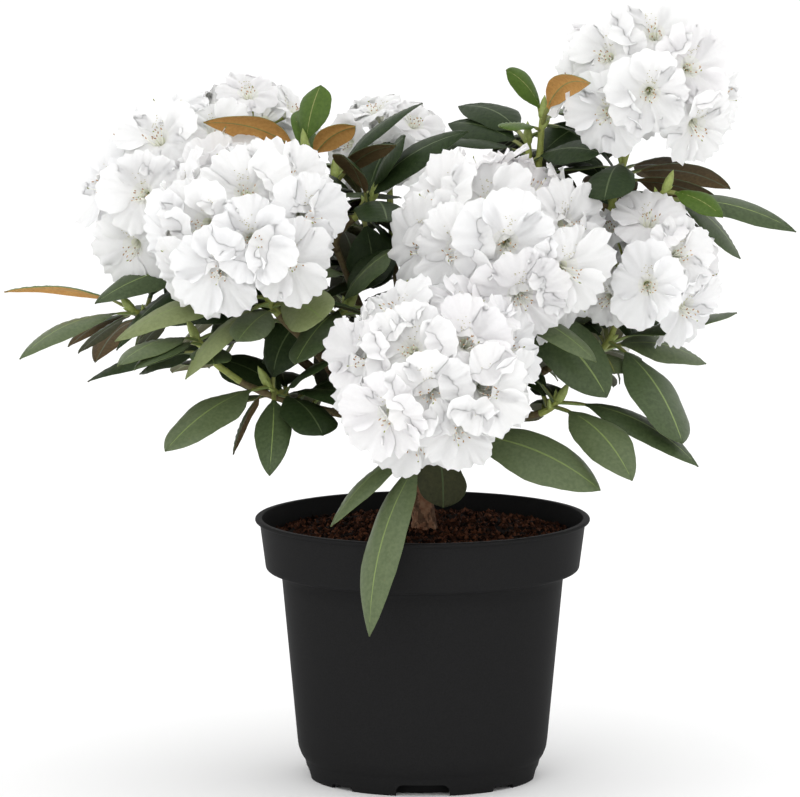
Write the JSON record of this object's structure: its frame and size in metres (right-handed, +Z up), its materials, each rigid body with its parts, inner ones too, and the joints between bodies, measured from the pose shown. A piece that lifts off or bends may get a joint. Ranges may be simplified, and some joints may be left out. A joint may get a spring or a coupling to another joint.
{
  "type": "potted rhododendron",
  "caption": "Evergreen flowering shrub in a round nursery pot: leaning trunk, forking boughs, leaf whorls and domed trusses of frilled white florets.",
  "frame": {"origin": "centre of the pot's underside", "axes": "+Z up; -Y is the front, which the low front truss and the leaf that hangs over the pot's rim face; +X to the right, the side of the tall truss"},
  "size_m": [0.542, 0.3914, 0.5317],
  "materials": {
    "pot": "satin",
    "soil": "matte",
    "bark": "matte",
    "foliage": "satin"
  },
  "bodies": {
    "root": {"pot": "pot", "soil": "soil", "trunk": "bark", "bough_front": "bark", "bough_left": "bark", "bough_lower_left": "bark", "bough_left_front": "bark", "bough_back_left": "bark", "bough_right": "bark", "bough_centre": "bark", "bough_lower_right": "bark", "bough_leader": "bark", "bough_top_left": "bark", "bough_back": "bark", "bough_back_right": "bark", "bough_top_right": "bark", "mass_front": "foliage", "mass_left_front": "foliage", "mass_centre": "foliage", "mass_right": "foliage", "mass_top_right": "foliage", "mass_left": "foliage", "mass_lower_left": "foliage", "mass_lower_right": "foliage", "mass_top_left": "foliage", "mass_top": "foliage", "mass_back_left": "foliage", "mass_back": "foliage", "mass_back_right": "foliage"}
  },
  "joints": []
}
